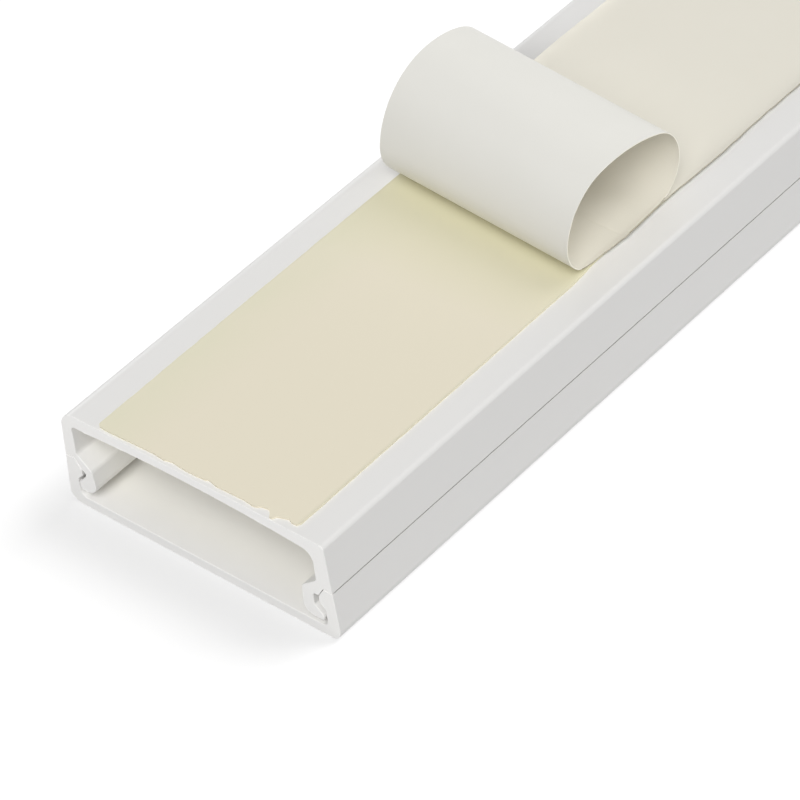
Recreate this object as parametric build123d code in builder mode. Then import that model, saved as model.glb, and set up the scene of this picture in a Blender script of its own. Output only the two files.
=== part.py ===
"""Snap-together cord cover raceway, lying on the face of its cover.

Two PVC extrusions make the channel: a base with a flat back plate, and a cover that snaps
onto it. The back carries an adhesive tape, and the tape's paper liner is peeled back from one
end, where it has rolled itself into a loop. Millimetres, +Z up, Y along the stock, with the
peeled end at -Y. The origin is on the floor, under the middle of the stock.
"""

import os
from math import cos, degrees, pi, radians

from build123d import *

# Overall sizes of the closed channel: its sides lean, so it is widest at the cover's face
stock_length = 400.0
overall_height = 14.0
face_width = 41.0
joint_width = 40.0
back_width = 39.2

# Base channel: a back plate, thinner along its middle, between two side walls
back_edge_thickness = 1.8
back_middle_thickness = 1.15
right_wall = 2.25
right_corner_radius = 0.6
right_inner_radius = 1.5
left_wall = 1.85
left_corner_radius = 2.4
left_inner_radius = 0.6

# Snap cover
cover_floor = 1.4
cover_wall = 1.35
cover_corner_radius = 1.5
cover_floor_fillet = 1.0

# Catch along the inside of each cover wall, under the seam between the two extrusions
seam_height = 7.05
seam_gap = 0.2
catch_depth = 0.85
lead_in_height = 1.4
catch_tip_height = 0.85
catch_edge_radius = 0.25

# Hooked tongue under each base wall, which springs past the catch. The base sits over to the
# left, so the left hook is close to its catch and the right one has all the slack.
tongue_lean = 0.3
tongue_root_radius = 0.25
tongue_foot_radius = 1.5
hook_depth = 1.25
hook_radius = 0.45
left_tongue = 1.2
left_hook_gap = 0.12
left_hook_play = 0.45
left_foot_gap = 1.1
right_tongue = 1.55
right_hook_gap = 0.4
right_hook_play = 1.55
right_foot_gap = 0.7
shoulder_lift = 0.4
shoulder_rise = 1.8
shoulder_radius = 0.8

# Adhesive tape on the back, a little off centre
tape_width = 29.6
tape_shift = 0.5
tape_thickness = 0.25
tape_setback = 0.5

# Paper liner: still on the tape, up to the line where it lifts off into its loop
liner_shift = 0.3
liner_thickness = 0.15
liner_torn_off = 3.5
tail_gap = 0.1
lower_turn = 100.0
upper_turn = 74.0
crown_turn = 30.0
right_lift_off = 53.0
right_lower_radius = 4.65
right_upper_radius = 7.85
right_crown_radius = 21.0
left_lift_off = 55.5
left_lower_radius = 5.0
left_upper_radius = 10.0
left_crown_radius = 13.7

half_width = joint_width / 2
half_face = face_width / 2
half_back = back_width / 2
half_length = stock_length / 2
section_plane = Plane.XZ.offset(-half_length)

# Lines that both extrusions share: the cover's inner wall, and the corners of its catch
cover_inside = half_width - cover_wall
catch_tip = cover_inside - catch_depth
catch_top = seam_height - lead_in_height
catch_bottom = catch_top - catch_tip_height
undercut_foot = catch_bottom - catch_depth


def base_wall_corners(wall, inner_radius, tongue, hook_gap, hook_play, foot_gap):
    """One base wall from its outer foot round the hook to the plate, as (across, height, radius)."""
    hook_reach = cover_inside - hook_gap
    tongue_outside = hook_reach - hook_depth
    tongue_inside = tongue_outside - tongue
    slot_top = catch_top + seam_gap
    neck = cover_inside + undercut_foot - hook_play - tongue_outside
    hook_foot = cover_floor + foot_gap
    shoulder_foot = slot_top + shoulder_lift
    wall_inside = half_width - wall
    return [
        (half_width, seam_height + seam_gap, 0),
        (cover_inside, seam_height + seam_gap, 0),
        (catch_tip, slot_top, 0),
        (tongue_outside, slot_top, tongue_root_radius),
        (tongue_outside, neck, tongue_root_radius),
        (hook_reach, neck - hook_depth, hook_radius),
        (hook_reach, hook_foot, hook_radius),
        (tongue_inside - tongue_lean, hook_foot, tongue_foot_radius),
        (tongue_inside, shoulder_foot, shoulder_radius),
        (wall_inside, shoulder_foot + shoulder_rise, shoulder_radius),
        (wall_inside, overall_height - back_edge_thickness, inner_radius),
    ]


def cover_wall_corners():
    """One cover wall from the face that lies on the floor, over its catch, to the inside."""
    return [
        (half_face, 0, cover_corner_radius),
        (half_width, seam_height, 0),
        (cover_inside, seam_height, 0),
        (catch_tip, catch_top, catch_edge_radius),
        (catch_tip, catch_bottom, catch_edge_radius),
        (cover_inside, undercut_foot, catch_edge_radius),
        (cover_inside, cover_floor, cover_floor_fillet),
    ]


def mirrored(corners):
    """The same wall on the left side, in the order that carries the outline on."""
    return [(-across, height, radius) for across, height, radius in reversed(corners)]


def closed_outline(corners):
    """A closed outline through the corners, each rounded by its own radius."""
    points = [(across, height) for across, height, radius in corners]
    radii = [radius for across, height, radius in corners]
    return FilletPolyline(*points, radius=radii, close=True)


# Base channel: one outline round both walls and the plate, with the plate's underside hollowed
right_corners = base_wall_corners(
    right_wall, right_inner_radius, right_tongue, right_hook_gap, right_hook_play, right_foot_gap
)
left_corners = base_wall_corners(
    left_wall, left_inner_radius, left_tongue, left_hook_gap, left_hook_play, left_foot_gap
)
plate_underside = overall_height - back_edge_thickness
arch_half_width = half_width - right_wall - right_inner_radius
with BuildPart() as base_channel:
    with BuildSketch(section_plane):
        with BuildLine():
            closed_outline(
                right_corners
                + mirrored(left_corners)
                + [(-half_back, overall_height, left_corner_radius)]
                + [(half_back, overall_height, right_corner_radius)]
            )
        make_face()
        with BuildLine():
            ThreePointArc(
                (-arch_half_width, plate_underside),
                (0, overall_height - back_middle_thickness),
                (arch_half_width, plate_underside),
            )
            Line((arch_half_width, plate_underside), (-arch_half_width, plate_underside))
        make_face(mode=Mode.SUBTRACT)
    extrude(amount=stock_length)
base_channel.part.label = "base_channel"

# Snap cover: the face on the floor, and the two low walls with their catches
with BuildPart() as snap_cover:
    with BuildSketch(section_plane):
        with BuildLine():
            closed_outline(mirrored(cover_wall_corners()) + cover_wall_corners())
        make_face()
    extrude(amount=stock_length)
snap_cover.part.label = "snap_cover"

# Adhesive tape: a thin strip on the back plate, cut just short of both ends
tape_length = stock_length - 2 * tape_setback
with BuildPart() as adhesive_tape:
    with BuildSketch(Plane.XY.offset(overall_height)):
        with Locations((tape_shift, 0)):
            Rectangle(tape_width, tape_length)
    extrude(amount=tape_thickness)
adhesive_tape.part.label = "adhesive_tape"


def liner_edge(lift_off, lower_radius, upper_radius, crown_radius):
    """The liner's long edge as an outline: flat on the tape, then over itself in a rolled loop.

    The loop is four turns that run into each other. The back turn's radius closes the loop, so
    that the tail comes down onto the flat stretch, and the tail is what is left of the length
    that was peeled off the tape.
    """
    tape_top = overall_height + tape_thickness
    far_end = half_length - tape_setback
    lift_y = lift_off - half_length
    upper_start = radians(lower_turn)
    crown_start = radians(lower_turn + upper_turn)
    back_start = radians(lower_turn + upper_turn + crown_turn)
    rise = (
        lower_radius * (1 - cos(upper_start))
        + upper_radius * (cos(upper_start) - cos(crown_start))
        + crown_radius * (cos(crown_start) - cos(back_start))
    )
    back_radius = (rise - liner_thickness - tail_gap) / (1 - cos(back_start))
    loop_length = (
        lower_radius * upper_start
        + upper_radius * radians(upper_turn)
        + crown_radius * radians(crown_turn)
        + back_radius * (2 * pi - back_start)
    )
    tail = lift_off - tape_setback - liner_torn_off - loop_length
    for inset in (0, liner_thickness):
        flat = Line((far_end, tape_top + inset), (lift_y, tape_top + inset))
        lower = JernArc(flat @ 1, flat % 1, lower_radius - inset, -lower_turn)
        upper = JernArc(lower @ 1, lower % 1, upper_radius - inset, -upper_turn)
        crown = JernArc(upper @ 1, upper % 1, crown_radius - inset, -crown_turn)
        back = JernArc(crown @ 1, crown % 1, back_radius - inset, degrees(back_start) - 360)
        end = Line(back @ 1, back @ 1 + (-tail, 0))
    Line((far_end, tape_top), (far_end, tape_top + liner_thickness))
    Line(end @ 1, end @ 1 - (0, liner_thickness))


# Release liner: a paper strip with a wider loop at its left edge than at its right one
with BuildPart() as release_liner:
    with BuildSketch(Plane.YZ.offset(liner_shift - tape_width / 2)):
        with BuildLine():
            liner_edge(left_lift_off, left_lower_radius, left_upper_radius, left_crown_radius)
        make_face()
    with BuildSketch(Plane.YZ.offset(liner_shift + tape_width / 2)):
        with BuildLine():
            liner_edge(right_lift_off, right_lower_radius, right_upper_radius, right_crown_radius)
        make_face()
    loft(ruled=True)
release_liner.part.label = "release_liner"

os.makedirs("parts", exist_ok=True)
export_step(base_channel.part, "parts/base_channel.step")
export_step(snap_cover.part, "parts/snap_cover.step")
export_step(adhesive_tape.part, "parts/adhesive_tape.step")
export_step(release_liner.part, "parts/release_liner.step")
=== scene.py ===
"""A white cord cover raceway, lying on the face of its cover with its adhesive back up.

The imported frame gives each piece's place and size. The sections follow the raceway as it is put
together: the base channel, the cover that snaps onto it, the tape on the back, and the paper
liner that peels off the tape. The studio comes last. Lengths are metres, written as so many mm.
"""

import math

import bpy
from mathutils import Matrix, Vector, noise


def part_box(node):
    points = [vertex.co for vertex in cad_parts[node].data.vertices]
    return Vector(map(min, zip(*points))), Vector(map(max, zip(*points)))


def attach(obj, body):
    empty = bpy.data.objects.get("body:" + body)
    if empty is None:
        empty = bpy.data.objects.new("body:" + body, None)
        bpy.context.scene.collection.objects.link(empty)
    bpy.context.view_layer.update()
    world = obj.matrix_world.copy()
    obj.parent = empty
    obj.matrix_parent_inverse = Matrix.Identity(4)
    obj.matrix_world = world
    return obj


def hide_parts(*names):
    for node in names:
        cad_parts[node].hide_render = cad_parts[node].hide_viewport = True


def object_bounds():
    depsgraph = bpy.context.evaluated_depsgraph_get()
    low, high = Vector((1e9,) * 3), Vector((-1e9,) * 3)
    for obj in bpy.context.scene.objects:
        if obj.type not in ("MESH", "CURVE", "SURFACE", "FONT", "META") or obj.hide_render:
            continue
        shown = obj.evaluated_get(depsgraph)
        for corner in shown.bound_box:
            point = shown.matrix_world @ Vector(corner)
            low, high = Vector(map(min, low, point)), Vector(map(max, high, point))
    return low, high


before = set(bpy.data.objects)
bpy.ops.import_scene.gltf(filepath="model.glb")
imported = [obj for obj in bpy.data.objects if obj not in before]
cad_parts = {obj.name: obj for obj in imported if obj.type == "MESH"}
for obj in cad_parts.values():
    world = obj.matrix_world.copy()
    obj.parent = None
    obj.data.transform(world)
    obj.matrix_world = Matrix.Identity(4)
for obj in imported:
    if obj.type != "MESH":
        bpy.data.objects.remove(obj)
cad_low, cad_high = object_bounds()

# Base channel
# The half that sticks to the wall: a flat back plate, two side walls, and a hooked tongue under
# each wall that springs past a catch on the cover. White rigid PVC, extruded and sawn to length.
mm = 0.001
_, base_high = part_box("base_channel")
half_length = base_high.y
joint_half_width = base_high.x
back_height = base_high.z
back_half_width = 19.6 * mm
plate_edge = 1.8 * mm
plate_middle = 1.15 * mm
right_corner_radius = 0.6 * mm
left_corner_radius = 2.4 * mm

# The catch on the cover's walls, which the base's hooks reach under
cover_low, cover_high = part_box("snap_cover")
seam_height = cover_high.z
seam_gap = 0.12 * mm
cover_floor = 1.4 * mm
cover_wall = 1.35 * mm
catch_depth = 0.85 * mm
lead_in_height = 1.4 * mm
catch_tip_height = 0.85 * mm
cover_inside = joint_half_width - cover_wall
catch_tip = cover_inside - catch_depth
catch_top = seam_height - lead_in_height
catch_bottom = catch_top - catch_tip_height
undercut_foot = catch_bottom - catch_depth

# The tongue and its hook, and how close each hook sits to its catch and to the cover's floor
tongue_lean = 0.3 * mm
tongue_root_radius = 0.4 * mm
tongue_foot_radius = 1.5 * mm
hook_depth = 1.25 * mm
hook_radius = 0.45 * mm
shoulder_lift = 0.4 * mm
shoulder_rise = 1.8 * mm
shoulder_radius = 0.8 * mm
left_side = {
    "wall": 1.85 * mm, "inner_radius": 0.6 * mm, "tongue": 1.2 * mm,
    "hook_gap": 0.12 * mm, "hook_play": 0.45 * mm, "foot_gap": 1.1 * mm,
}
right_side = {
    "wall": 2.25 * mm, "inner_radius": 1.5 * mm, "tongue": 1.55 * mm,
    "hook_gap": 0.4 * mm, "hook_play": 1.55 * mm, "foot_gap": 0.7 * mm,
}

# How the stock is cut and finished, and its white as it comes out of the die
burr_height = 0.07 * mm
burr_spacing = 0.3 * mm
eased_width = 0.06 * mm
long_edge_share = 0.4
weld_distance = 0.002 * mm
arc_steps = 9
# The inside colour is a painted warm shade for the light bounced within the channel
pvc_shades = {
    "shade": (0.905, 0.897, 0.88), "deep_shade": (0.885, 0.877, 0.86),
    # The seam colour is painted shade for the gap between base and cover
    "inside_painted_shade": (0.91, 0.895, 0.845), "seam_painted_shade": (0.46, 0.45, 0.43),
}


def base_wall_corners(wall, inner_radius, tongue, hook_gap, hook_play, foot_gap):
    """One wall from its outer foot round the hook to the plate, as (across, height, radius)."""
    hook_reach = cover_inside - hook_gap
    tongue_outside = hook_reach - hook_depth
    tongue_inside = tongue_outside - tongue
    slot_top = catch_top + seam_gap
    neck = cover_inside + undercut_foot - hook_play - tongue_outside
    hook_foot = cover_floor + foot_gap
    shoulder_foot = slot_top + shoulder_lift
    wall_inside = joint_half_width - wall
    return [
        (joint_half_width, seam_height + seam_gap, 0),
        (cover_inside, seam_height + seam_gap, 0),
        (catch_tip, slot_top, 0),
        (tongue_outside, slot_top, tongue_root_radius),
        (tongue_outside, neck, tongue_root_radius),
        (hook_reach, neck - hook_depth, hook_radius),
        (hook_reach, hook_foot, hook_radius),
        (tongue_inside - tongue_lean, hook_foot, tongue_foot_radius),
        (tongue_inside, shoulder_foot, shoulder_radius),
        (wall_inside, shoulder_foot + shoulder_rise, shoulder_radius),
        (wall_inside, back_height - plate_edge, inner_radius),
    ]


def mirrored(corners):
    """The same wall on the left side, in the order that carries the outline on."""
    return [(-across, height, radius) for across, height, radius in reversed(corners)]


def plate_arch(steps=24):
    """The hollow under the plate, from right to left: the plate is thinner along its middle."""
    half_span = joint_half_width - right_side["wall"] - right_side["inner_radius"]
    foot, rise = back_height - plate_edge, plate_edge - plate_middle
    reaches = [1 - 2 * step / steps for step in range(steps + 1)]
    return [(reach * half_span, foot + rise * (1 - reach**2), 0) for reach in reaches]


def add_node(tree, kind, inputs=None, **settings):
    """A new node with its settings, and with its inputs given as values or as outputs to link."""
    node = tree.nodes.new(kind)
    for setting, value in settings.items():
        setattr(node, setting, value)
    for socket, value in (inputs or {}).items():
        if isinstance(value, bpy.types.NodeSocket):
            tree.links.new(value, node.inputs[socket])
        else:
            node.inputs[socket].default_value = value
    return node


def calculated(tree, operation, *values):
    """The result of one sum on values or outputs."""
    sum_node = add_node(tree, "ShaderNodeMath", dict(enumerate(values)), operation=operation)
    return sum_node.outputs["Value"]


def ranged(tree, value, ends=(0, 1), to=(0, 1)):
    """What goes from one value to another while the given value goes between its two ends."""
    return add_node(tree, "ShaderNodeMapRange", {
        "Value": value, "From Min": ends[0], "From Max": ends[1], "To Min": to[0], "To Max": to[1],
    }).outputs["Result"]


def distance(tree, coordinate):
    """How far a coordinate is from the middle, on either side."""
    return calculated(tree, "ABSOLUTE", coordinate)


def geometry_tree(name, inputs):
    """An empty Geometry Nodes tree with one mesh in, one mesh out and these named inputs."""
    tree = bpy.data.node_groups.new(name, "GeometryNodeTree")
    tree.interface.new_socket("Mesh", in_out="INPUT", socket_type="NodeSocketGeometry")
    for label, kind in inputs.items():
        tree.interface.new_socket(label, in_out="INPUT", socket_type=kind)
    tree.interface.new_socket("Mesh", in_out="OUTPUT", socket_type="NodeSocketGeometry")
    return tree, tree.nodes.new("NodeGroupInput").outputs


def position_axes(tree):
    """The X, Y and Z of each point in a Geometry Nodes tree."""
    place = add_node(tree, "GeometryNodeInputPosition")
    return add_node(tree, "ShaderNodeSeparateXYZ", {"Vector": place.outputs["Position"]}).outputs


def joined(tree, *meshes):
    """Several meshes as one."""
    together = add_node(tree, "GeometryNodeJoinGeometry")
    for mesh in meshes:
        tree.links.new(mesh, together.inputs[0])
    return together.outputs["Geometry"]


def thickened(tree, flat, offset):
    """A flat face drawn out into a body, and turned over to close the body behind it."""
    drawn = add_node(tree, "GeometryNodeExtrudeMesh", {
        "Mesh": flat, "Offset": offset, "Individual": False,
    }, mode="FACES")
    turned = add_node(tree, "GeometryNodeFlipFaces", {"Mesh": flat})
    return joined(tree, drawn.outputs["Mesh"], turned.outputs["Mesh"])


def welded(tree, geometry):
    """The same body with the points that meet made into one."""
    return add_node(tree, "GeometryNodeMergeByDistance", {
        "Geometry": geometry, "Distance": weld_distance,
    }).outputs["Geometry"]


def close_tree(tree, geometry, material):
    """Ends a tree: instances made real, the material set."""
    real = add_node(tree, "GeometryNodeRealizeInstances", {"Geometry": geometry})
    finished = add_node(tree, "GeometryNodeSetMaterial", {
        "Geometry": real.outputs[0], "Material": material,
    })
    add_node(tree, "NodeGroupOutput", {"Mesh": finished.outputs[0]})


def extruded_stock():
    """A tree that rounds a section's corners, fills the section and draws it out to a length.

    It marks the sharp edges that are eased later: in full at the cut ends, less along the stock.
    """
    sharp_turn, end_zone = math.radians(50), 0.9 * half_length
    tree, given = geometry_tree("extruded stock", {
        "Length": "NodeSocketFloat", "Arc Steps": "NodeSocketInt", "Finish": "NodeSocketMaterial",
    })
    outline = add_node(tree, "GeometryNodeMeshToCurve", {"Mesh": given["Mesh"]})
    radius = add_node(tree, "GeometryNodeInputNamedAttribute", {
        "Name": "corner_radius",
    }, data_type="FLOAT")
    rounded = add_node(tree, "GeometryNodeFilletCurve", {
        "Curve": outline.outputs["Curve"], "Count": given["Arc Steps"],
        "Radius": radius.outputs["Attribute"], "Limit Radius": True,
    }, mode="POLY")
    section = add_node(tree, "GeometryNodeFillCurve", {
        "Curve": rounded.outputs["Curve"],
    }, mode="NGONS")
    along = add_node(tree, "ShaderNodeCombineXYZ", {"Z": given["Length"]})
    body = thickened(tree, section.outputs["Mesh"], along.outputs["Vector"])
    middle = add_node(tree, "ShaderNodeCombineXYZ", {
        "Y": calculated(tree, "MULTIPLY", given["Length"], 0.5),
    })
    laid = add_node(tree, "GeometryNodeTransform", {
        "Geometry": body, "Translation": middle.outputs["Vector"],
        "Rotation": (math.pi / 2, 0, 0),
    })
    smooth = add_node(tree, "GeometryNodeSetShadeSmooth", {
        0: welded(tree, laid.outputs["Geometry"]),
    }, domain="FACE")
    turn = add_node(tree, "GeometryNodeInputMeshEdgeAngle")
    sharp = calculated(tree, "GREATER_THAN", turn.outputs["Unsigned Angle"], sharp_turn)
    from_middle = distance(tree, position_axes(tree)["Y"])
    at_end = calculated(tree, "GREATER_THAN", from_middle, end_zone)
    easing = ranged(tree, at_end, to=(long_edge_share, 1))
    eased = add_node(tree, "GeometryNodeStoreNamedAttribute", {
        "Geometry": smooth.outputs[0], "Name": "bevel_weight_edge",
        "Value": calculated(tree, "MULTIPLY", sharp, easing),
    }, data_type="FLOAT", domain="EDGE")
    close_tree(tree, eased.outputs["Geometry"], given["Finish"])
    return tree


def cut_burr():
    """A tree that adds the thin ragged lip which a saw leaves along the outline of both ends."""
    hair, ragged_ends, lip_shares = 0.001 * mm, (0.5, 0.75), (0.12, 1)
    tree, given = geometry_tree("cut burr", {
        "Half Length": "NodeSocketFloat", "Lip": "NodeSocketFloat", "Spacing": "NodeSocketFloat",
        "Seed": "NodeSocketFloat", "Finish": "NodeSocketMaterial",
    })
    from_middle = distance(tree, position_axes(tree)["Y"])
    short = calculated(tree, "SUBTRACT", given["Half Length"], from_middle)
    edges = add_node(tree, "GeometryNodeMeshToCurve", {
        "Mesh": given["Mesh"], "Selection": calculated(tree, "LESS_THAN", short, hair),
    })
    path = add_node(tree, "GeometryNodeResampleCurve", {
        "Curve": edges.outputs["Curve"], "Length": given["Spacing"],
    }, mode="LENGTH")
    ragged = add_node(tree, "ShaderNodeTexNoise", {
        "W": given["Seed"], "Scale": 0.7 / mm, "Detail": 4.0, "Roughness": 0.65,
    }, noise_dimensions="4D")
    height = ranged(tree, ragged.outputs["Fac"], ends=ragged_ends, to=lip_shares)
    lip = add_node(tree, "GeometryNodeCurvePrimitiveCircle", {
        "Resolution": 5, "Radius": 1.0,
    }, mode="RADIUS")
    swept = add_node(tree, "GeometryNodeCurveToMesh", {
        "Curve": path.outputs["Curve"], "Profile Curve": lip.outputs["Curve"],
        "Scale": calculated(tree, "MULTIPLY", height, given["Lip"]),
    })
    close_tree(tree, joined(tree, swept.outputs["Mesh"], given["Mesh"]), given["Finish"])
    return tree


def use_tree(piece, tree, values):
    """Puts a tree on a piece, with its named inputs set."""
    modifier = piece.modifiers.new(tree.name, "NODES")
    modifier.node_group = tree
    for socket in tree.interface.items_tree:
        if socket.in_out == "INPUT" and socket.name in values:
            modifier[socket.identifier] = values[socket.name]


def to_plain_mesh(piece):
    """Turns what a piece's modifiers make into its own mesh, and takes the modifiers off."""
    shaped = piece.evaluated_get(bpy.context.evaluated_depsgraph_get())
    plain = bpy.data.meshes.new_from_object(shaped)
    piece.modifiers.clear()
    piece.data = plain


def add_piece(name, vertices, edges=(), faces=()):
    """A new mesh object in the scene."""
    mesh = bpy.data.meshes.new(name)
    mesh.from_pydata(vertices, edges, faces)
    piece = bpy.data.objects.new(name, mesh)
    bpy.context.collection.objects.link(piece)
    return piece


def add_outline(name, points):
    """A new object that is one closed outline through these points."""
    count = len(points)
    return add_piece(name, points, [(point, (point + 1) % count) for point in range(count)])


def extrusion(name, corners, finish, seed):
    """A length of stock with this section, its cut edges eased and with a little burr."""
    piece = add_outline(name, [(across, height, 0) for across, height, radius in corners])
    radii = piece.data.attributes.new("corner_radius", "FLOAT", "POINT")
    radii.data.foreach_set("value", [radius for across, height, radius in corners])
    cut_half_length = half_length - burr_height
    use_tree(piece, stock_tree, {
        "Length": 2 * cut_half_length, "Arc Steps": arc_steps, "Finish": finish,
    })
    eased = piece.modifiers.new("eased edges", "BEVEL")
    eased.width = eased_width
    eased.segments = 2
    eased.limit_method = "WEIGHT"
    use_tree(piece, burr_tree, {
        "Half Length": cut_half_length, "Lip": burr_height, "Spacing": burr_spacing,
        "Seed": seed, "Finish": finish,
    })
    even = piece.modifiers.new("even shading", "WEIGHTED_NORMAL")
    even.weight = 80
    to_plain_mesh(piece)
    return piece


def shader_group(name, inputs, outputs):
    """An empty shader node group with these named sockets."""
    group = bpy.data.node_groups.new(name, "ShaderNodeTree")
    sockets = group.interface
    for label, value in inputs.items():
        socket = sockets.new_socket(label, in_out="INPUT", socket_type="NodeSocketFloat")
        socket.default_value = value
    for label in outputs:
        sockets.new_socket(label, in_out="OUTPUT", socket_type="NodeSocketFloat")
    return group, group.nodes.new("NodeGroupInput").outputs


def surface_axes(tree, kind):
    """The X, Y and Z of a shader's coordinate of this kind: Object or Normal."""
    place = add_node(tree, "ShaderNodeTexCoord")
    return add_node(tree, "ShaderNodeSeparateXYZ", {"Vector": place.outputs[kind]}).outputs


def flow_lines_group():
    """Faint lines along the stock, as the die leaves them, and broad clouds of unevenness."""
    stretch, clouds_per_mm = 0.012, 0.12
    group, given = shader_group(
        "flow lines", {"Seed": 0.0, "Lines per mm": 2.0}, ["Lines", "Clouds"]
    )
    place = add_node(group, "ShaderNodeTexCoord")
    drawn_out = add_node(group, "ShaderNodeVectorMath", {
        0: place.outputs["Object"], 1: (1 / mm, stretch / mm, 1 / mm),
    }, operation="MULTIPLY")
    lines = add_node(group, "ShaderNodeTexNoise", {
        "Vector": drawn_out.outputs["Vector"], "W": given["Seed"], "Scale": given["Lines per mm"],
        "Detail": 3.0, "Roughness": 0.6,
    }, noise_dimensions="4D")
    clouds = add_node(group, "ShaderNodeTexNoise", {
        "Vector": drawn_out.outputs["Vector"], "W": given["Seed"],
        "Scale": clouds_per_mm, "Detail": 2.0,
    }, noise_dimensions="4D")
    add_node(group, "NodeGroupOutput", {
        "Lines": lines.outputs["Fac"], "Clouds": clouds.outputs["Fac"],
    })
    return group


def sawn_end_group():
    """Where a face is a cut end, and the slanting marks that the saw left on it."""
    facing_end, slant, stretch = (0.75, 0.95), math.radians(24), 0.05
    group, given = shader_group("sawn end", {"Marks per mm": 3.0}, ["End", "Marks"])
    end = ranged(group, distance(group, surface_axes(group, "Normal")["Y"]), ends=facing_end)
    place = add_node(group, "ShaderNodeTexCoord")
    slanting = add_node(group, "ShaderNodeMapping", {
        "Vector": place.outputs["Object"], "Rotation": (0, slant, 0),
        "Scale": (1 / mm, 1 / mm, stretch / mm),
    })
    marks = add_node(group, "ShaderNodeTexNoise", {
        "Vector": slanting.outputs["Vector"], "Scale": given["Marks per mm"],
        "Detail": 3.0, "Roughness": 0.7,
    })
    add_node(group, "NodeGroupOutput", {"End": end, "Marks": marks.outputs["Fac"]})
    return group


def seam_shade_group():
    """Where the joint between the two extrusions runs along the sides, painted dark as shade in
    its gap.
    """
    unshaded_end, shaded_from = 0.2 * mm, 0.6 * mm
    group, given = shader_group("seam shade", {"Reach": 0.01}, ["Seam Shade"])
    axes = surface_axes(group, "Object")
    reach = calculated(group, "MULTIPLY_ADD", given["Reach"], mm, seam_gap / 2)
    level = calculated(group, "COMPARE", axes["Z"], seam_height + seam_gap / 2, reach)
    inboard = ranged(
        group, distance(group, axes["Y"]), ends=(half_length - unshaded_end, half_length - shaded_from)
    )
    outside = calculated(group, "GREATER_THAN", distance(group, axes["X"]), cover_inside)
    along_sides = calculated(group, "MULTIPLY", level, outside)
    shaded_joint = calculated(group, "MULTIPLY", along_sides, inboard)
    add_node(group, "NodeGroupOutput", {"Seam Shade": shaded_joint})
    return group


def inside_group():
    """Where a face is inside the channel, behind its mouth, where a warm shade is painted."""
    mouth, depth, slack = 0.1 * mm, 4 * mm, 0.05 * mm
    group, given = shader_group("inside", {"Wall": 1.6}, ["Inside"])
    axes = surface_axes(group, "Object")
    wall = calculated(group, "MULTIPLY_ADD", given["Wall"], -mm, joint_half_width)
    between = calculated(group, "LESS_THAN", distance(group, axes["X"]), wall)
    ceiling = back_height - plate_middle
    middle, reach = (cover_floor + ceiling) / 2, (ceiling - cover_floor) / 2
    level = calculated(group, "COMPARE", axes["Z"], middle, reach + slack)
    inboard = ranged(
        group, distance(group, axes["Y"]), ends=(half_length - mouth, half_length - depth)
    )
    enclosed = calculated(group, "MULTIPLY", between, level)
    share = calculated(group, "MULTIPLY", enclosed, inboard)
    add_node(group, "NodeGroupOutput", {"Inside": share})
    return group


def plain_material(name, ior):
    """A new material, its node tree and the shader in it."""
    material = bpy.data.materials.new(name)
    material.use_nodes = True
    shader = material.node_tree.nodes["Principled BSDF"]
    shader.inputs["IOR"].default_value = ior
    return material, material.node_tree, shader


def mixed_colour(tree, share, colour, other):
    """The colour output that goes from one colour to another by a share."""
    ends = {
        socket: value if isinstance(value, bpy.types.NodeSocket) else (*value, 1)
        for socket, value in ((6, colour), (7, other))
    }
    return add_node(tree, "ShaderNodeMix", {0: share, **ends}, data_type="RGBA").outputs[2]


def roughen(tree, shader, height, strength, depth):
    """Gives a shader fine relief from a height that varies over the surface."""
    bump = add_node(tree, "ShaderNodeBump", {
        "Height": height, "Strength": strength, "Distance": depth,
    })
    tree.links.new(bump.outputs["Normal"], shader.inputs["Normal"])


def white_pvc(name, shade, deep_shade, inside_painted_shade, seam_painted_shade, seed):
    """White PVC as extruded: satin along its drawn faces, duller and marked on its sawn ends."""
    line_ends, satin_range = (0.3, 0.7), (0.36, 0.5)
    sawn_dullness, mark_depth = 0.22, 6.0
    material, tree, shader = plain_material(name, ior=1.53)
    flow = add_node(tree, "ShaderNodeGroup", node_tree=flow_lines)
    flow.inputs["Seed"].default_value = seed
    sawn = add_node(tree, "ShaderNodeGroup", node_tree=sawn_end)
    inner = add_node(tree, "ShaderNodeGroup", node_tree=inside)
    seam_shaded = add_node(tree, "ShaderNodeGroup", node_tree=seam_shade)
    drawn = mixed_colour(tree, flow.outputs["Clouds"], shade, deep_shade)
    # Inside the channel the colour turns to a painted warm shade, for the light bounced in there
    inside_tinted = mixed_colour(tree, inner.outputs["Inside"], drawn, inside_painted_shade)
    # The seam along the sides is painted dark, as shade in the gap between base and cover
    colour = mixed_colour(tree, seam_shaded.outputs["Seam Shade"], inside_tinted, seam_painted_shade)
    tree.links.new(colour, shader.inputs["Base Color"])
    satin = ranged(tree, flow.outputs["Lines"], ends=line_ends, to=satin_range)
    dull = calculated(tree, "MULTIPLY_ADD", sawn.outputs["End"], sawn_dullness, satin)
    tree.links.new(dull, shader.inputs["Roughness"])
    cut = calculated(tree, "MULTIPLY", sawn.outputs["Marks"], sawn.outputs["End"])
    relief = calculated(tree, "MULTIPLY_ADD", cut, mark_depth, flow.outputs["Lines"])
    roughen(tree, shader, relief, strength=0.25, depth=0.01 * mm)
    return material


stock_tree = extruded_stock()
burr_tree = cut_burr()
flow_lines = flow_lines_group()
sawn_end = sawn_end_group()
seam_shade = seam_shade_group()
inside = inside_group()

base_channel = extrusion(
    "base_channel_stock",
    base_wall_corners(**right_side)
    + plate_arch()
    + mirrored(base_wall_corners(**left_side))
    + [(-back_half_width, back_height, left_corner_radius)]
    + [(back_half_width, back_height, right_corner_radius)],
    white_pvc("base_pvc", **pvc_shades, seed=3.0),
    seed=5.0,
)
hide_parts("base_channel")
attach(base_channel, "base")

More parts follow.
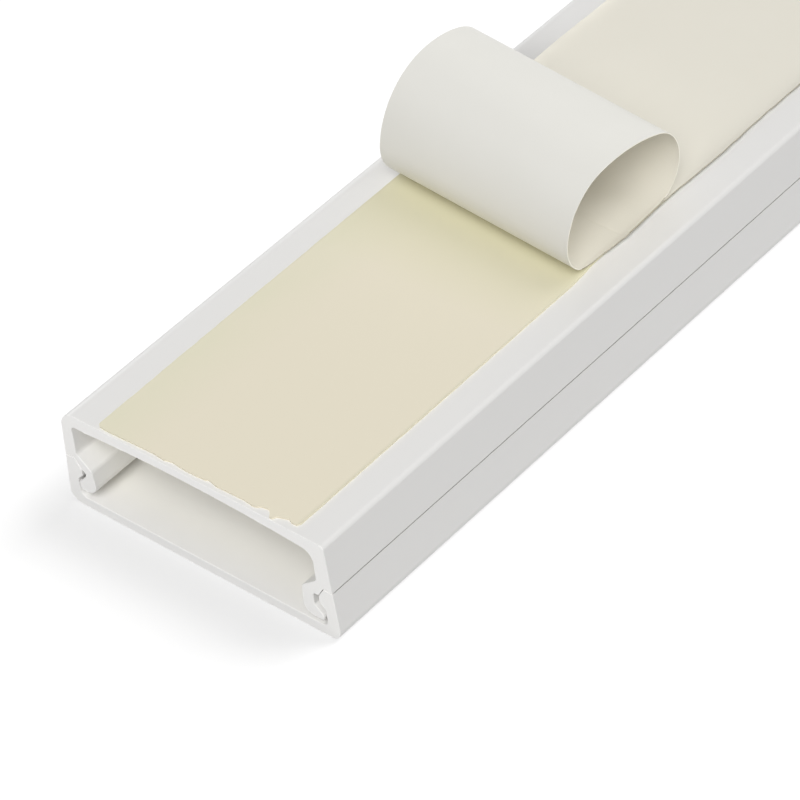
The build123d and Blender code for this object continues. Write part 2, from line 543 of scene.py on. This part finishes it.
# Snap cover
# The half that shows on a wall: a wide flat face with two low side walls, each with an inward
# catch for the base's hooks. White rigid PVC, extruded. Here it lies face down on the floor.
face_half_width = 20.5 * mm
cover_corner_radius = 1.5 * mm
cover_floor_fillet = 1.0 * mm
catch_edge_radius = 0.4 * mm
cover_wall_corners = [
    (face_half_width, cover_low.z, cover_corner_radius),
    (joint_half_width, seam_height, 0),
    (cover_inside, seam_height, 0),
    (catch_tip, catch_top, catch_edge_radius),
    (catch_tip, catch_bottom, catch_edge_radius),
    (cover_inside, undercut_foot, catch_edge_radius),
    (cover_inside, cover_floor, cover_floor_fillet),
]
snap_cover = extrusion(
    "snap_cover_stock",
    mirrored(cover_wall_corners) + cover_wall_corners,
    white_pvc("cover_pvc", **pvc_shades, seed=11.0),
    seed=23.0,
)
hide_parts("snap_cover")
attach(snap_cover, "cover")

# Adhesive tape
# The cream mounting tape that holds the channel to a wall. It is rolled onto the back plate, so
# it wanders a little, and it is cut off just short of the end, where its edge has nicks.
tape_low, tape_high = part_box("adhesive_tape")
tape_fray = 0.25 * mm
tape_point_spacing = 0.25 * mm
tape_creams = {
    "cream": (0.826, 0.768, 0.616), "green_cream": (0.766, 0.754, 0.564),
    # The last cream is the painted shadow of the loop on the tape
    "darker_edge_cream": (0.745, 0.705, 0.545), "loop_shadow_cream": (0.79, 0.755, 0.545),
}

# The tape's outline, in mm across from the middle and along from the near end
tape_near_edge = [
    (-14.0, 0.8), (-13.7, 0.5), (-12.8, 0.36), (-9.2, 0.5), (-5.5, 0.62), (-3.9, 0.5),
    (-2.9, 0.75), (-1.3, 0.58), (2.0, 0.65), (2.4, 0.9), (3.7, 0.62), (7.7, 0.7), (9.0, 0.5),
    (9.6, 0.62), (10.0, 0.95), (11.0, 1.15), (11.55, 0.65), (11.9, 0.12), (12.25, 0.3),
    (12.45, 0.72), (13.1, 0.95), (13.9, 1.2), (14.4, 0.95), (15.1, 0.95), (15.4, 1.45),
]
tape_right_edge = [
    (15.35, 20), (15.2, 49), (14.7, 54), (14.6, 80), (14.5, 140), (14.6, 300), (14.6, 399.5),
]
tape_left_edge = [
    (-14.6, 399.5), (-14.5, 300), (-14.7, 140), (-14.5, 80), (-14.25, 50), (-14.15, 20),
]


def cut_strip():
    """A tree that frays an outline a little, fills it and gives it a thickness."""
    tree, given = geometry_tree("cut strip", {
        "Spacing": "NodeSocketFloat", "Fray": "NodeSocketFloat", "Thickness": "NodeSocketFloat",
        "Height": "NodeSocketFloat", "Seed": "NodeSocketFloat", "Finish": "NodeSocketMaterial",
    })
    outline = add_node(tree, "GeometryNodeMeshToCurve", {"Mesh": given["Mesh"]})
    fine = add_node(tree, "GeometryNodeResampleCurve", {
        "Curve": outline.outputs["Curve"], "Length": given["Spacing"],
    }, mode="LENGTH")
    ragged = add_node(tree, "ShaderNodeTexNoise", {
        "W": given["Seed"], "Scale": 0.6 / mm, "Detail": 3.0, "Roughness": 0.7,
    }, noise_dimensions="4D")
    centred = add_node(tree, "ShaderNodeVectorMath", {
        0: ragged.outputs["Color"], 1: (0.5, 0.5, 0.5),
    }, operation="SUBTRACT")
    pulled = add_node(tree, "ShaderNodeVectorMath", {
        0: centred.outputs["Vector"], "Scale": given["Fray"],
    }, operation="SCALE")
    frayed = add_node(tree, "GeometryNodeSetPosition", {
        "Geometry": fine.outputs["Curve"], "Offset": pulled.outputs["Vector"],
    })
    flat = add_node(tree, "GeometryNodeFillCurve", {
        "Curve": frayed.outputs["Geometry"],
    }, mode="NGONS")
    upwards = add_node(tree, "ShaderNodeCombineXYZ", {"Z": given["Thickness"]})
    strip = thickened(tree, flat.outputs["Mesh"], upwards.outputs["Vector"])
    onto = add_node(tree, "ShaderNodeCombineXYZ", {"Z": given["Height"]})
    laid = add_node(tree, "GeometryNodeTransform", {
        "Geometry": strip, "Translation": onto.outputs["Vector"],
    })
    close_tree(tree, welded(tree, laid.outputs["Geometry"]), given["Finish"])
    return tree


def mottle_group():
    """Soft patches and fine grain, for the tape and for the paper on it."""
    grain_per_mm = 4.0
    group, given = shader_group(
        "mottle", {"Seed": 0.0, "Patches per mm": 0.15}, ["Patches", "Grain"]
    )
    place = add_node(group, "ShaderNodeTexCoord")
    scaled = add_node(group, "ShaderNodeVectorMath", {
        0: place.outputs["Object"], "Scale": 1 / mm,
    }, operation="SCALE")
    patches = add_node(group, "ShaderNodeTexNoise", {
        "Vector": scaled.outputs["Vector"], "W": given["Seed"], "Scale": given["Patches per mm"],
        "Detail": 3.0, "Roughness": 0.55,
    }, noise_dimensions="4D")
    grain = add_node(group, "ShaderNodeTexNoise", {
        "Vector": scaled.outputs["Vector"], "W": given["Seed"], "Scale": grain_per_mm,
        "Detail": 3.0, "Roughness": 0.7,
    }, noise_dimensions="4D")
    add_node(group, "NodeGroupOutput", {
        "Patches": patches.outputs["Fac"], "Grain": grain.outputs["Fac"],
    })
    return group


def adhesive(name, cream, green_cream, darker_edge_cream, loop_shadow_cream, seed):
    """Bare cream adhesive: dull, faintly patchy, greener to the left and darker along its edges.

    It is painted yellower and darker in the loop's shadow, where the paper has only just come off
    it.
    """
    green_from, green_to = -6 * mm, -14 * mm
    darker_from, darker_to = -0.35 * mm, 0.1 * mm
    shadow_from, shadow_to = 38 * mm, 50 * mm
    material, tree, shader = plain_material(name, ior=1.47)
    shader.inputs["Roughness"].default_value = 0.6
    mottled = add_node(tree, "ShaderNodeGroup", node_tree=mottle)
    mottled.inputs["Seed"].default_value = seed
    axes = surface_axes(tree, "Object")
    leftward = ranged(tree, axes["X"], ends=(green_from, green_to))
    greener = calculated(tree, "MULTIPLY", leftward, mottled.outputs["Patches"])
    middle, half_width = (tape_low.x + tape_high.x) / 2, (tape_high.x - tape_low.x) / 2
    reach = distance(tree, calculated(tree, "SUBTRACT", axes["X"], middle))
    edge = ranged(tree, reach, ends=(half_width + darker_from, half_width + darker_to))
    in_loop_shadow = ranged(tree, axes["Y"], ends=(shadow_from - half_length, shadow_to - half_length))
    aired = mixed_colour(tree, greener, cream, green_cream)
    # Painted shadow: the tape turns yellower and darker where the loop's shadow falls
    body = mixed_colour(tree, in_loop_shadow, aired, loop_shadow_cream)
    tree.links.new(mixed_colour(tree, edge, body, darker_edge_cream), shader.inputs["Base Color"])
    roughen(tree, shader, mottled.outputs["Grain"], strength=0.3, depth=0.02 * mm)
    return material


cut_tree = cut_strip()
mottle = mottle_group()
adhesive_tape = add_outline("adhesive_tape_strip", [
    (across * mm, along * mm - half_length, 0)
    for across, along in tape_near_edge + tape_right_edge + tape_left_edge
])
use_tree(adhesive_tape, cut_tree, {
    "Spacing": tape_point_spacing, "Fray": tape_fray, "Thickness": tape_high.z - tape_low.z,
    "Height": tape_low.z, "Seed": 4.0,
    "Finish": adhesive("tape_adhesive", **tape_creams, seed=2.0),
})
to_plain_mesh(adhesive_tape)
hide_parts("adhesive_tape")
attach(adhesive_tape, "base")

# Release liner
# The paper that keeps the tape clean until it is used: slippery white on the side that lets go,
# cream on the other. Peeled off the near end, where it was torn, it has rolled into a loop.
liner_low, liner_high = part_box("release_liner")
liner_thickness = 0.1 * mm
liner_setback = half_length - liner_high.y
liner_torn_off = 3.5 * mm
liner_cut = (liner_high.x - liner_low.x, 2 * liner_high.y - liner_torn_off)
tail_gap = 0.01 * mm
loop_turns = [math.radians(100), math.radians(74), math.radians(30)]
left_loop = {"lift_off": 55.5 * mm, "radii": [5.0 * mm, 10.0 * mm, 13.7 * mm]}
right_loop = {"lift_off": 53.0 * mm, "radii": [4.65 * mm, 7.85 * mm, 21.0 * mm]}
flat_steps, turn_steps, tail_steps = 690, 30, 8
half_columns = [0, 0.008, 0.02, 0.04, 0.08, 0.15, 0.25, 0.35, 0.45]
liner_columns = half_columns + [1 - column for column in reversed(half_columns)]
torn_share = 0.1
crease_turn = math.radians(45)
release_side = {
    "colour": (0.81, 0.80, 0.755), "deep_colour": (0.785, 0.775, 0.725), "roughness": 0.42,
}
paper_side = {
    "colour": (0.797, 0.768, 0.681), "deep_colour": (0.778, 0.749, 0.657), "roughness": 0.6,
}
# Painted shade for the gap under the paper's long edges
edge_painted_shade = (0.3, 0.27, 0.2)


def liner_edge(lift_off, radii):
    """One long edge of the liner from its far end, over the loop, to its tail, as (along, height).

    The loop is four turns that run into each other. The last one closes it, so that the tail comes
    down onto the flat stretch, and the tail is what is left of the length peeled off the tape.
    """
    turned = [sum(loop_turns[:turn]) for turn in range(len(loop_turns) + 1)]
    rise = sum(
        radius * (math.cos(start) - math.cos(end))
        for radius, start, end in zip(radii, turned, turned[1:])
    )
    closing_radius = (rise - liner_thickness - tail_gap) / (1 - math.cos(turned[-1]))
    all_radii = radii + [closing_radius]
    all_turns = loop_turns + [2 * math.pi - turned[-1]]
    loop_length = sum(radius * turn for radius, turn in zip(all_radii, all_turns))
    tail = lift_off - liner_setback - liner_torn_off - loop_length
    flat = liner_high.y + half_length - lift_off
    points = [
        (liner_high.y - flat * step / flat_steps, tape_high.z) for step in range(flat_steps + 1)
    ]
    for radius, turn, start in zip(all_radii, all_turns, turned):
        along, height = points[-1]
        centre_along = along + radius * math.sin(start)
        centre_height = height + radius * math.cos(start)
        for step in range(1, turn_steps + 1):
            angle = start + turn * step / turn_steps
            points.append((
                centre_along - radius * math.sin(angle), centre_height - radius * math.cos(angle)
            ))
    along, height = points[-1]
    return points + [
        (along - tail * step / tail_steps, height) for step in range(1, tail_steps + 1)
    ]


def cockle(along, height, column):
    """How far the paper's edges wave sideways and lift off the tape, most of all by the loop."""
    wave_fade, wave_start, wave_length = 25 * mm, 2 * mm, 16.5 * mm
    drift_length, nick_length = 9 * mm, 1.3 * mm
    edge_band, loop_foot = 1.6 * mm, 2 * mm
    wave_width, drift_width, nick_width = 0.3 * mm, 0.12 * mm, 0.12 * mm
    least_lift, wave_lift, drift_lift, nick_lift = 0.14 * mm, 0.14 * mm, 0.05 * mm, 0.06 * mm
    from_loop = along + half_length - right_loop["lift_off"]
    near_loop = math.exp(-max(from_loop, 0) / wave_fade)
    wave = math.sin(2 * math.pi * (from_loop - wave_start) / wave_length)
    drift = noise.noise(Vector((along / drift_length, column, 0.5)))
    nicks = noise.noise(Vector((along / nick_length, column, 3.5)))
    at_edge = max(0, 1 - min(column, 1 - column) * (liner_cut[0] / edge_band)) ** 2
    near_tape = max(0, 1 - (height - tape_high.z) / loop_foot) ** 2
    sideways = wave_width * near_loop * wave + drift_width * drift + nick_width * nicks
    lift = least_lift + wave_lift * near_loop * (1 + wave) + drift_lift * drift + nick_lift * nicks
    return at_edge * near_tape * sideways, at_edge * near_tape * lift


def shaded_edge_group():
    """Where the paper's slit long edges lie along the tape, painted dark as shade in the gap under
    them.
    """
    facing_sideways = 0.7
    group, given = shader_group("shaded edge", {"Height": 0.7}, ["Edge Shade"])
    facing = distance(group, surface_axes(group, "Normal")["X"])
    slit = calculated(group, "GREATER_THAN", facing, facing_sideways)
    ceiling = calculated(group, "MULTIPLY_ADD", given["Height"], mm, tape_high.z)
    low = calculated(group, "LESS_THAN", surface_axes(group, "Object")["Z"], ceiling)
    add_node(group, "NodeGroupOutput", {"Edge Shade": calculated(group, "MULTIPLY", slit, low)})
    return group


def release_paper(name, colour, deep_colour, roughness, seed):
    """One side of the liner: smooth coated paper with a faint cloudiness and grain."""
    unevenness = 0.08
    material, tree, shader = plain_material(name, ior=1.45)
    mottled = add_node(tree, "ShaderNodeGroup", node_tree=mottle)
    mottled.inputs["Seed"].default_value = seed
    edged = add_node(tree, "ShaderNodeGroup", node_tree=shaded_edge)
    body = mixed_colour(tree, mottled.outputs["Patches"], colour, deep_colour)
    # The slit edges by the tape are painted dark, as shade in the gap beneath them
    edge_shaded = mixed_colour(tree, edged.outputs["Edge Shade"], body, edge_painted_shade)
    tree.links.new(edge_shaded, shader.inputs["Base Color"])
    slip = ranged(
        tree, mottled.outputs["Grain"], to=(roughness - unevenness, roughness + unevenness)
    )
    tree.links.new(slip, shader.inputs["Roughness"])
    roughen(tree, shader, mottled.outputs["Grain"], strength=0.2, depth=0.01 * mm)
    return material


shaded_edge = shaded_edge_group()
left_edge, right_edge = liner_edge(**left_loop), liner_edge(**right_loop)
liner_points = []
for (left_along, left_height), (right_along, right_height) in zip(left_edge, right_edge):
    for column in liner_columns:
        along = left_along + (right_along - left_along) * column
        height = left_height + (right_height - left_height) * column
        sideways, lift = cockle(along, height, column)
        across = liner_low.x + column * liner_cut[0]
        liner_points.append((across + sideways, along, height + lift))
row_length = len(liner_columns)
liner_cells = [
    row * row_length + column
    for row in range(len(left_edge) - 1)
    for column in range(row_length - 1)
]
release_liner = add_piece("release_liner_sheet", liner_points, faces=[
    (cell, cell + 1, cell + row_length + 1, cell + row_length) for cell in liner_cells
])
release_liner.data.shade_smooth()
for paper_finish in (
    release_paper("liner_release_side", **release_side, seed=7.0),
    release_paper("liner_paper_side", **paper_side, seed=13.0),
):
    release_liner.data.materials.append(paper_finish)

# The paper's thickness, which runs out at the torn end of the tail
whole_paper = release_liner.vertex_groups.new(name="whole_paper")
whole_paper.add(range(len(liner_points) - row_length), 1.0, "REPLACE")
paper = release_liner.modifiers.new("paper", "SOLIDIFY")
paper.thickness = liner_thickness
paper.offset = -1
paper.vertex_group = whole_paper.name
paper.thickness_vertex_group = torn_share
paper.material_offset = 1
paper.material_offset_rim = 1
to_plain_mesh(release_liner)
release_liner.data.set_sharp_from_angle(angle=crease_turn)
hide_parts("release_liner")
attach(release_liner, "base")

# Studio
# A plain floor in a white surround, both white to the camera. Large soft lights stand round the
# peeled end, and each lights some of the pieces alone, so that white stays apart from white.
floor_half_width = 2.0
floor_gap = 0.02 * mm
floor_height = cad_low.z - floor_gap
floor_grey = 0.27
floor_glow = (0.22, 0.75)
surround_glow = (0.26, 1.0)
light_distance = 5.2
light_aim = Vector((0, -0.75 * half_length, 0))


def background_glow(tree, levels):
    """A strength with one level for light on the pieces, and one where the background shows.

    It shows to the camera, and in what is glossy or clear.
    """
    rays = add_node(tree, "ShaderNodeLightPath").outputs
    seen = calculated(tree, "MAXIMUM", rays["Is Camera Ray"], rays["Is Glossy Ray"])
    shows = calculated(tree, "MAXIMUM", seen, rays["Is Transmission Ray"])
    return ranged(tree, shows, to=levels)


floor = add_piece("floor", [
    (side * floor_half_width, end * floor_half_width, floor_height)
    for side, end in ((-1, -1), (1, -1), (1, 1), (-1, 1))
], faces=[(0, 1, 2, 3)])
floor_paint = bpy.data.materials.new("floor_paint")
floor_paint.use_nodes = True
tree = floor_paint.node_tree
tree.nodes.clear()
matt = add_node(tree, "ShaderNodeBsdfDiffuse", {"Color": (floor_grey, floor_grey, floor_grey, 1)})
glow = add_node(tree, "ShaderNodeEmission", {"Strength": background_glow(tree, floor_glow)})
lit = add_node(tree, "ShaderNodeAddShader", {0: matt.outputs["BSDF"], 1: glow.outputs["Emission"]})
add_node(tree, "ShaderNodeOutputMaterial", {"Surface": lit.outputs["Shader"]})
floor.data.materials.append(floor_paint)

surround = bpy.data.worlds.new("surround")
surround.use_nodes = True
tree = surround.node_tree
white = tree.nodes["Background"]
white.inputs["Color"].default_value = (1, 1, 1, 1)
tree.links.new(background_glow(tree, surround_glow), white.inputs["Strength"])
bpy.context.scene.world = surround


def direction(azimuth, elevation):
    """Outwards from the part, turned to the right from its peeled end and then up, in radians."""
    return Vector((
        math.sin(azimuth) * math.cos(elevation),
        -math.cos(azimuth) * math.cos(elevation),
        math.sin(elevation),
    ))


def soft_light(name, azimuth, elevation, width, power, pieces):
    """A square soft light, turned to the peeled end, that lights these pieces alone."""
    lamp = bpy.data.lights.new(name, "AREA")
    lamp.shape = "SQUARE"
    lamp.size = width
    lamp.energy = power
    outwards = direction(math.radians(azimuth), math.radians(elevation))
    place = light_aim + light_distance * outwards
    turned = outwards.to_track_quat("Z", "Y").to_matrix().to_4x4()
    holder = bpy.data.objects.new(name, lamp)
    holder.matrix_world = Matrix.Translation(place) @ turned
    bpy.context.collection.objects.link(holder)
    lit_pieces = bpy.data.collections.new(name)
    for piece in pieces:
        lit_pieces.objects.link(piece)
    holder.light_linking.receiver_collection = lit_pieces


channel = [base_channel, snap_cover]
on_back = [adhesive_tape, release_liner]
liner_alone = [release_liner]
soft_light("behind", azimuth=150, elevation=52, width=3.2, power=56.0, pieces=on_back)
soft_light("on the floor", azimuth=150, elevation=52, width=3.2, power=376.0, pieces=[floor])
soft_light("over the back", azimuth=45, elevation=48, width=3.2, power=196.0, pieces=on_back)
soft_light("into the loop", azimuth=132, elevation=4, width=1.6, power=136.0, pieces=liner_alone)
soft_light("front", azimuth=24, elevation=46, width=3.2, power=224.0, pieces=channel)
soft_light("side", azimuth=80, elevation=24, width=3.2, power=10.0, pieces=channel)
soft_light("far side", azimuth=240, elevation=6, width=1.0, power=20.0, pieces=channel)

# The camera looks down on the peeled end from its right, as found from the photo's long edges
view_azimuth = math.radians(45.215)
view_elevation = math.radians(41.570)
view_roll = math.radians(-7.514)
view_distance = 486.226 * mm
view_side = 21.864 * mm
view_rise = 18.843 * mm
focal_pixels = 4363.006
image_pixels = 800
backwards = direction(view_azimuth, view_elevation)
level_right = Vector((math.cos(view_azimuth), math.sin(view_azimuth), 0))
level_up = backwards.cross(level_right)
right = math.cos(view_roll) * level_right + math.sin(view_roll) * level_up
up = -math.sin(view_roll) * level_right + math.cos(view_roll) * level_up
near_end = Vector((0, -half_length, 0))
stand = near_end + view_distance * backwards + view_side * right + view_rise * up
lens = bpy.data.cameras.new("camera")
lens.sensor_width = 36
lens.lens = focal_pixels / image_pixels * lens.sensor_width
camera = bpy.data.objects.new("camera", lens)
facing = Matrix((right, up, backwards)).transposed().to_4x4()
camera.matrix_world = Matrix.Translation(stand) @ facing
bpy.context.collection.objects.link(camera)
bpy.context.scene.camera = camera
bpy.context.scene.view_settings.view_transform = "Standard"
